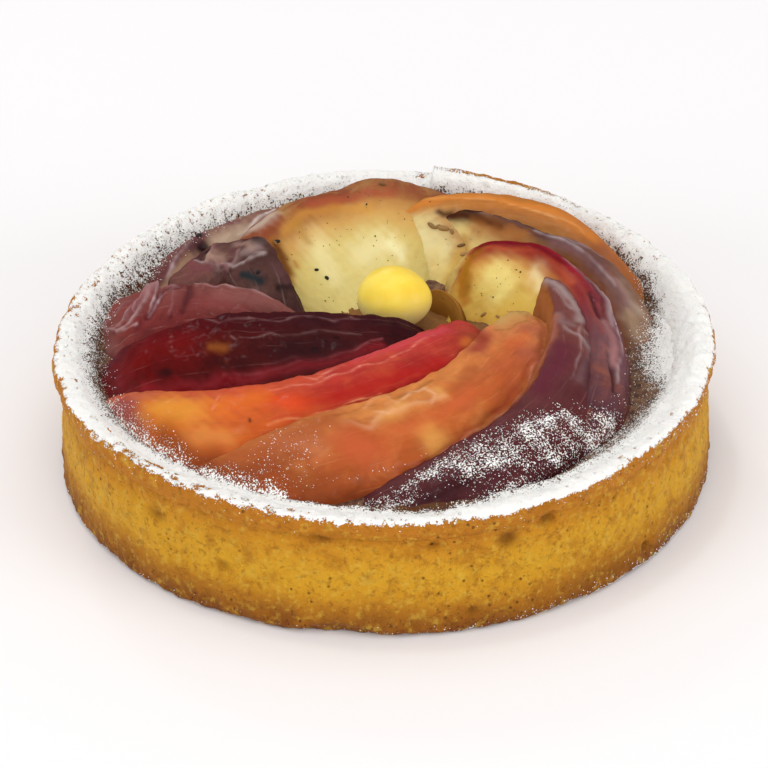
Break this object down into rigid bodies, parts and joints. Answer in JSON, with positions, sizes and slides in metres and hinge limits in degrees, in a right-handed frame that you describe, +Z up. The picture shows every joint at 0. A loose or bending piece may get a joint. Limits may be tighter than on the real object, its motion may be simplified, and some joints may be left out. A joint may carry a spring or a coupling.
{
  "type": "peach tart",
  "caption": "Round shortcrust tart with almond filling and a rosette of baked peach wedges round a blanched nut, dusted with icing sugar.",
  "frame": {"origin": "centre of the flat base that the tart rests on", "axes": "+Z up, the tart's thin direction; -Y is the front, where the two long wedges end at the rim; +X to the right of the front"},
  "size_m": [0.1042, 0.1038, 0.0279],
  "materials": {
    "crust": "matt baked pastry, rough and crumbly",
    "almond_filling": "matt baked filling under a dusting of sugar",
    "nut": "smooth and moist",
    "peach_orange": "moist baked fruit, lightly glazed",
    "peach_red": "moist baked fruit, glazed",
    "peach_maroon": "moist baked fruit, glazed",
    "peach_pink": "moist baked fruit, glazed and folded",
    "peach_folded": "moist baked fruit, glazed and folded",
    "peach_plum": "moist baked skin under a veil of sugar",
    "peach_crimson": "moist baked fruit, satin",
    "peach_grey_plum": "moist baked skin under a veil of sugar",
    "peach_amber": "moist baked fruit, satin",
    "peach_cream": "moist baked flesh, satin",
    "peach_pale": "moist baked skin, satin",
    "peach_core": "moist baked flesh, browned",
    "sugar": "fine dry powder",
    "specks": "dry dark crumbs"
  },
  "bodies": {
    "root": {"crust": "crust", "filling": "almond_filling", "nut": "nut", "wedge_front_orange": "peach_orange", "wedge_front_red": "peach_red", "wedge_left_maroon": "peach_maroon", "wedge_left_pink": "peach_pink", "wedge_left_folded": "peach_folded", "wedge_right_plum": "peach_plum", "wedge_right_crimson": "peach_crimson", "wedge_back_plum": "peach_grey_plum", "wedge_back_amber": "peach_amber", "wedge_back_cream": "peach_cream", "wedge_left_pale": "peach_pale", "core_flap": "peach_core"}
  },
  "joints": []
}
